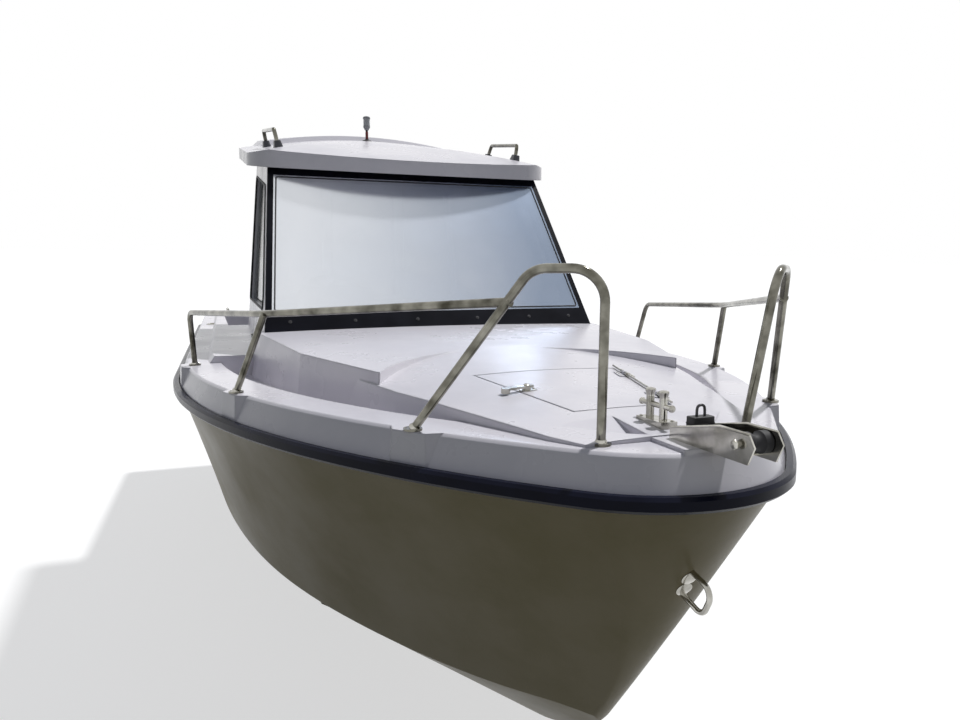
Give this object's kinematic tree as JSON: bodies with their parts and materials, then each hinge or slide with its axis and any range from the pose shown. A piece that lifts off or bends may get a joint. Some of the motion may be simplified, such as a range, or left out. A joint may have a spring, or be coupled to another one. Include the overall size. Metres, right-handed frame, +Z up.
{
  "type": "pilothouse boat",
  "caption": "Small outboard motor boat with a walk-round foredeck, a hard-topped pilothouse, an open cockpit aft and a stainless bow pulpit.",
  "frame": {"origin": "on the centreline at the still waterline, amidships", "axes": "+X to port, +Y aft, +Z up"},
  "size_m": [2.378, 6.6347, 2.883],
  "materials": {
    "gelcoat_white": "glossy moulded gelcoat, lavender white",
    "gelcoat_hull": "glossy khaki taupe gelcoat",
    "rub_rail": "satin navy black PVC",
    "black_frame": "satin black band",
    "window_glass": "clear tinted safety glass",
    "stainless": "polished stainless steel tube",
    "black_plastic": "textured black plastic",
    "liner": "moulded liner",
    "upholstery": "coated marine fabric",
    "engine_paint": "satin dark grey enamel",
    "cowl_paint": "glossy dark grey cowl",
    "aluminium_cast": "painted casting"
  },
  "bodies": {
    "boat": {"hull": "gelcoat_hull", "deck": "gelcoat_white", "rub_rail": "rub_rail", "hatch_hinges": "stainless", "door_hinges": "stainless", "windscreen_frame": "black_frame", "windscreen_glass": "window_glass", "cabin_side_port": "gelcoat_white", "cabin_side_starboard": "gelcoat_white", "side_glass_port": "window_glass", "side_glass_starboard": "window_glass", "roof": "gelcoat_white", "aft_bulkhead": "gelcoat_white", "pulpit_port": "stainless", "pulpit_starboard": "stainless", "roof_handle_port": "stainless", "roof_handle_starboard": "stainless", "masthead_light": "black_plastic", "side_light_port": "black_plastic", "side_light_starboard": "black_plastic", "bollard": "stainless", "roller_bracket": "stainless", "roller_lock": "black_plastic", "bow_eye": "stainless", "stern_cleats": "stainless", "helm_console": "liner", "helm_seat": "liner", "helm_cushions": "upholstery", "passenger_seat": "liner", "passenger_cushions": "upholstery", "stern_bench": "liner", "engine_bracket": "engine_paint"},
    "hatch": {"foredeck_hatch": "gelcoat_white", "hatch_latch": "stainless"},
    "door": {"cabin_door": "gelcoat_white", "door_glass": "window_glass"},
    "roller": {"bow_roller": "black_plastic"},
    "wheel": {"steering_wheel": "black_plastic"},
    "locker_lid": {"bench_lid": "liner", "bench_cushion": "upholstery"},
    "tilt_unit": {"engine_swivel": "engine_paint"},
    "engine": {"engine_leg": "engine_paint", "engine_cowl": "cowl_paint", "gearcase": "engine_paint"},
    "propeller": {"propeller": "aluminium_cast"}
  },
  "joints": [
    {"name": "foredeck_hatch_hinge", "type": "hinge", "parent": "boat", "child": "hatch", "pos_m": [0.254, -2.03249, 0.9762], "axis": [0.216, 0.9762, 0.0164], "range_deg": [0, 100]},
    {"name": "cabin_door_hinge", "type": "hinge", "parent": "boat", "child": "door", "pos_m": [0.333, 1.10459, 0.85862], "axis": [0, -0.061, -0.9981], "range_deg": [0, 120]},
    {"name": "bow_roller_spin", "type": "hinge", "parent": "boat", "child": "roller", "pos_m": [0, -2.99441, 1.00513], "axis": [1, 0, 0], "continuous": true},
    {"name": "steering_wheel_turn", "type": "hinge", "parent": "boat", "child": "wheel", "pos_m": [-0.434, -0.37167, 1.01904], "axis": [0, 0.9304, 0.3665], "range_deg": [-540, 540]},
    {"name": "locker_lid_hinge", "type": "hinge", "parent": "boat", "child": "locker_lid", "pos_m": [0, 2.21381, 0.45645], "axis": [-1, 0, 0], "range_deg": [0, 85]},
    {"name": "engine_tilt", "type": "hinge", "parent": "boat", "child": "tilt_unit", "pos_m": [0, 2.98942, 0.31169], "axis": [1, 0, 0], "range_deg": [0, 68]},
    {"name": "engine_steer", "type": "hinge", "parent": "tilt_unit", "child": "engine", "pos_m": [0, 3.05942, 0.25169], "axis": [0, 0, 1], "range_deg": [-30, 30]},
    {"name": "propeller_spin", "type": "hinge", "parent": "engine", "child": "propeller", "pos_m": [0, 3.54442, -0.55331], "axis": [0, 1, 0], "continuous": true}
  ]
}
